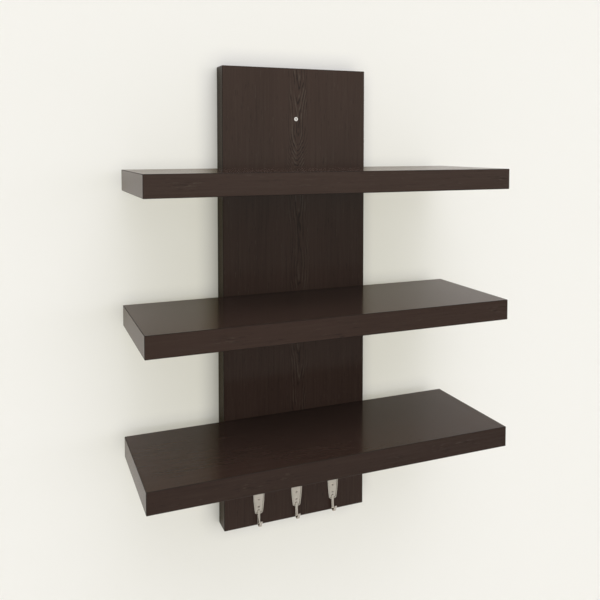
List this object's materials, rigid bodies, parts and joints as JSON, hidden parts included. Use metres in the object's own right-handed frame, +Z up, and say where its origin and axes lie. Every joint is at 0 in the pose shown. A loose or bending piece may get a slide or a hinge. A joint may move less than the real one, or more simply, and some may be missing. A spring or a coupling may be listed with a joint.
{
  "type": "wall key holder",
  "caption": "Wall-hung key holder: a tall backboard with wide shelves across its front and small J-shaped key hooks near its bottom edge.",
  "frame": {"origin": "centre of the backboard's back face, which lies on the wall", "axes": "+Z up along the backboard, +Y into the wall, +X to the right of a viewer who faces the shelves"},
  "size_m": [0.45, 0.2102, 0.6002],
  "materials": {
    "wenge_board": "dark brown wenge laminate, satin, grain upright",
    "wenge_shelf": "dark brown wenge laminate, satin, grain along the shelf",
    "satin_nickel": "warm light grey satin nickel",
    "bright_steel": "bright nickel-plated steel",
    "zinc_steel": "zinc-plated steel",
    "beech_dowel": "plain turned beech"
  },
  "bodies": {
    "root": {"backboard": "wenge_board", "top_shelf": "wenge_shelf", "middle_shelf": "wenge_shelf", "bottom_shelf": "wenge_shelf", "left_key_hook": "satin_nickel", "centre_key_hook": "satin_nickel", "right_key_hook": "satin_nickel", "left_hook_screws": "bright_steel", "centre_hook_screws": "bright_steel", "right_hook_screws": "bright_steel", "upper_wall_screw": "bright_steel", "lower_wall_screw": "bright_steel", "top_shelf_screws": "zinc_steel", "middle_shelf_screws": "zinc_steel", "bottom_shelf_screws": "zinc_steel", "top_shelf_dowels": "beech_dowel", "middle_shelf_dowels": "beech_dowel", "bottom_shelf_dowels": "beech_dowel"}
  },
  "joints": []
}
